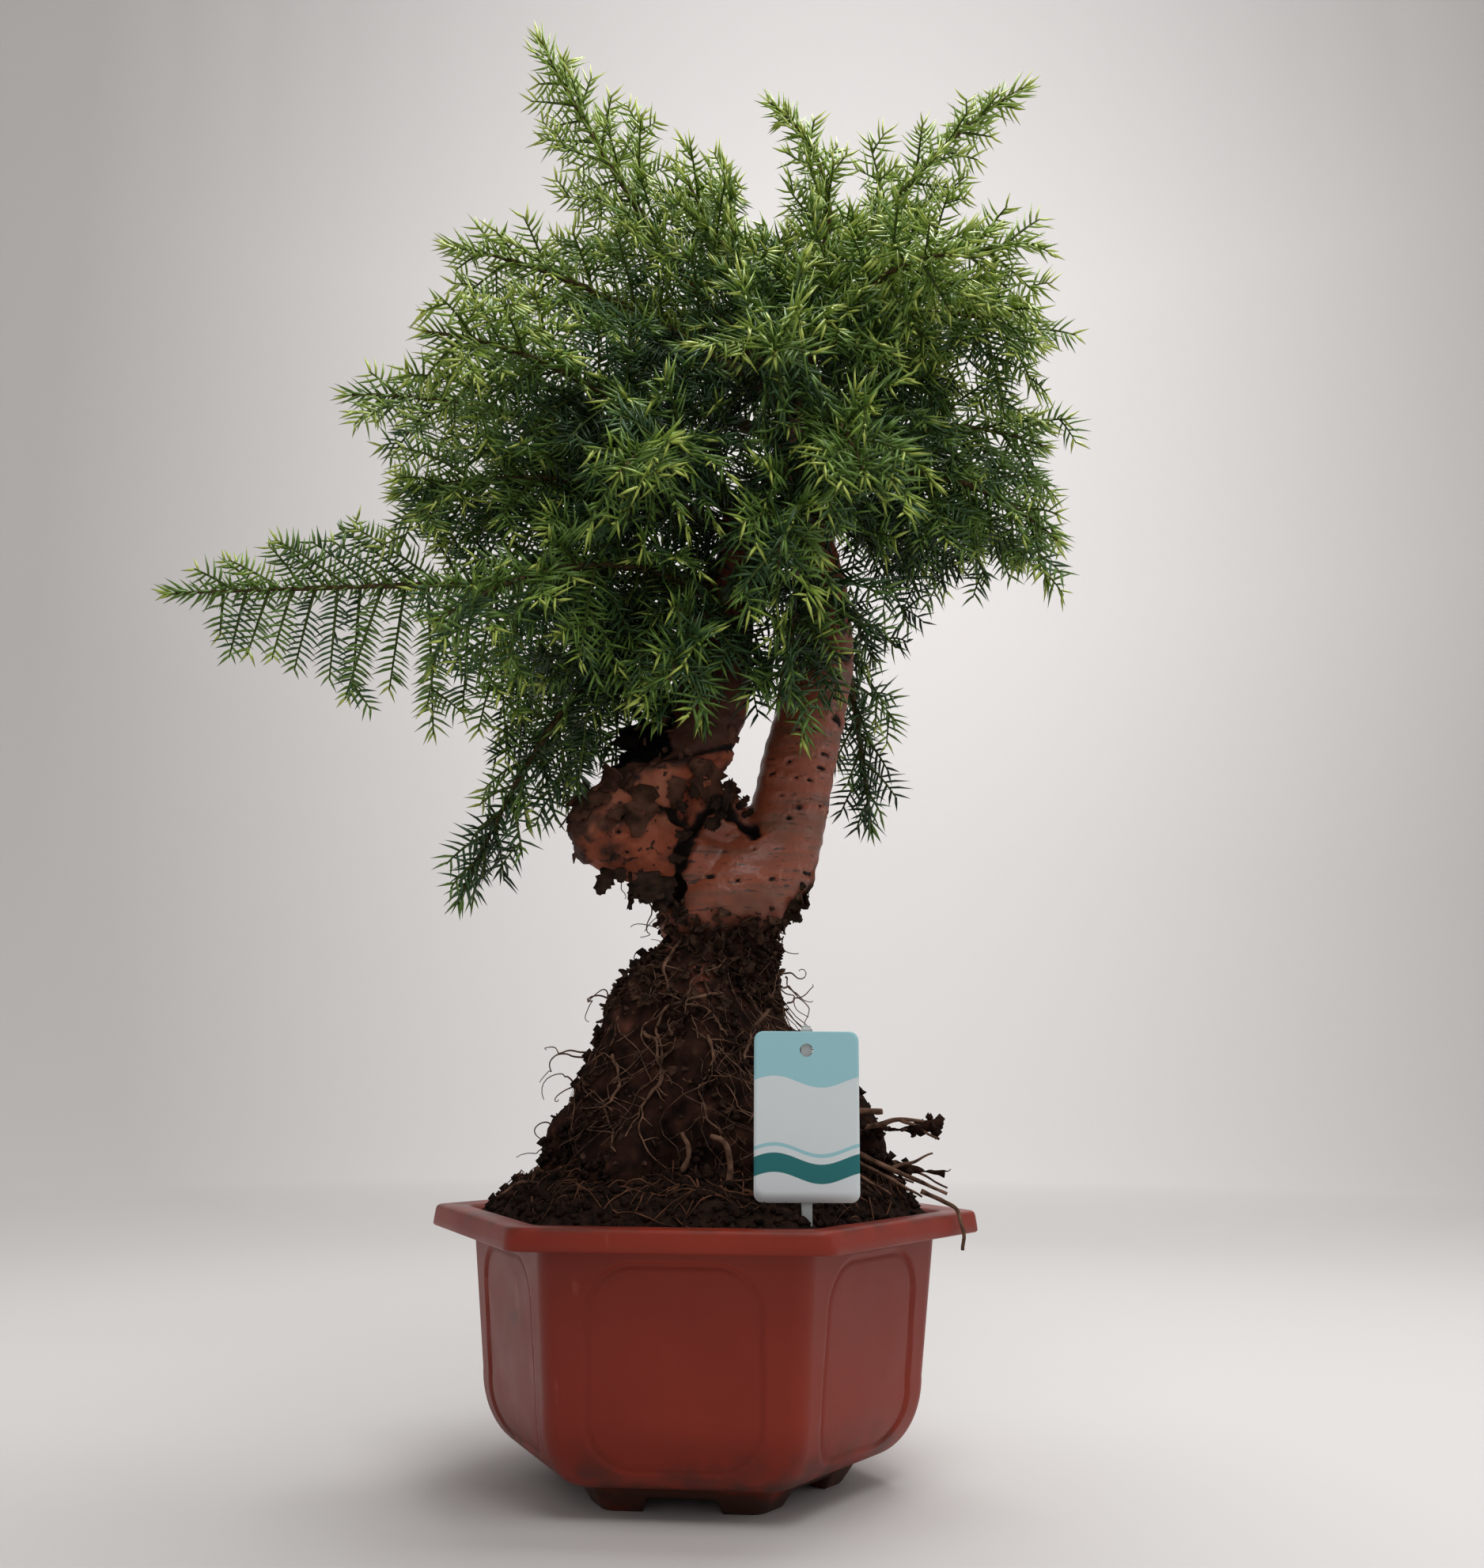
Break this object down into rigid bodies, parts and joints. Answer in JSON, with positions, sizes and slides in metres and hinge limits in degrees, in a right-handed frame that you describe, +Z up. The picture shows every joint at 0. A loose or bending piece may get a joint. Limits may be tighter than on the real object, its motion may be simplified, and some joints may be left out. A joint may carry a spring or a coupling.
{
  "type": "potted bonsai tree",
  "caption": "Potted hoop pine bonsai: a forked, twisted trunk on a bulging root base, drooping boughs of short sharp needles, and a hexagonal plastic pot with a blank plant label.",
  "frame": {"origin": "on the ground, under the middle of the plant's outline", "axes": "+Z up, +X to the right and -Y towards the viewer of the picture"},
  "size_m": [0.5088, 0.3168, 0.836],
  "materials": {
    "pot": "satin brick-red moulded plastic",
    "soil": "dark moist peat",
    "bark": "smooth copper-brown bark with bands",
    "bough_bark": "rough brown-green bark",
    "foliage": "green needles with paler tips",
    "label_card": "pale printed card",
    "label_stem": "clear-grey plastic strip"
  },
  "bodies": {
    "root": {"bough_back_left": "bough_bark", "bough_back_low": "bough_bark", "bough_back_low_left": "bough_bark", "bough_back_middle": "bough_bark", "bough_back_right": "bough_bark", "bough_front_high_left": "bough_bark", "bough_front_high_right": "bough_bark", "bough_front_left": "bough_bark", "bough_front_right": "bough_bark", "bough_front_upper": "bough_bark", "bough_leader_left": "bough_bark", "bough_leader_right": "bough_bark", "bough_left_hanging": "bough_bark", "bough_left_long": "bough_bark", "bough_left_low": "bough_bark", "bough_left_middle": "bough_bark", "bough_left_upper": "bough_bark", "bough_right_high": "bough_bark", "bough_right_low": "bough_bark", "bough_right_middle": "bough_bark", "bough_right_under": "bough_bark", "bough_right_upper": "bough_bark", "foliage_back_left": "foliage", "foliage_back_low": "foliage", "foliage_back_low_left": "foliage", "foliage_back_middle": "foliage", "foliage_back_right": "foliage", "foliage_front_high_left": "foliage", "foliage_front_high_right": "foliage", "foliage_front_left": "foliage", "foliage_front_low": "foliage", "foliage_front_low_left": "foliage", "foliage_front_middle": "foliage", "foliage_front_right": "foliage", "foliage_front_upper": "foliage", "foliage_leader_inner": "foliage", "foliage_leader_left": "foliage", "foliage_leader_middle": "foliage", "foliage_leader_right": "foliage", "foliage_left_hanging": "foliage", "foliage_left_long": "foliage", "foliage_left_low": "foliage", "foliage_left_middle": "foliage", "foliage_left_under": "foliage", "foliage_left_upper": "foliage", "foliage_right_hanging": "foliage", "foliage_right_high": "foliage", "foliage_right_low": "foliage", "foliage_right_middle": "foliage", "foliage_right_under": "foliage", "foliage_right_upper": "foliage", "label_card": "label_card", "label_stem": "label_stem", "pot": "pot", "second_stem": "bark", "soil": "soil", "trunk": "bark"}
  },
  "joints": []
}
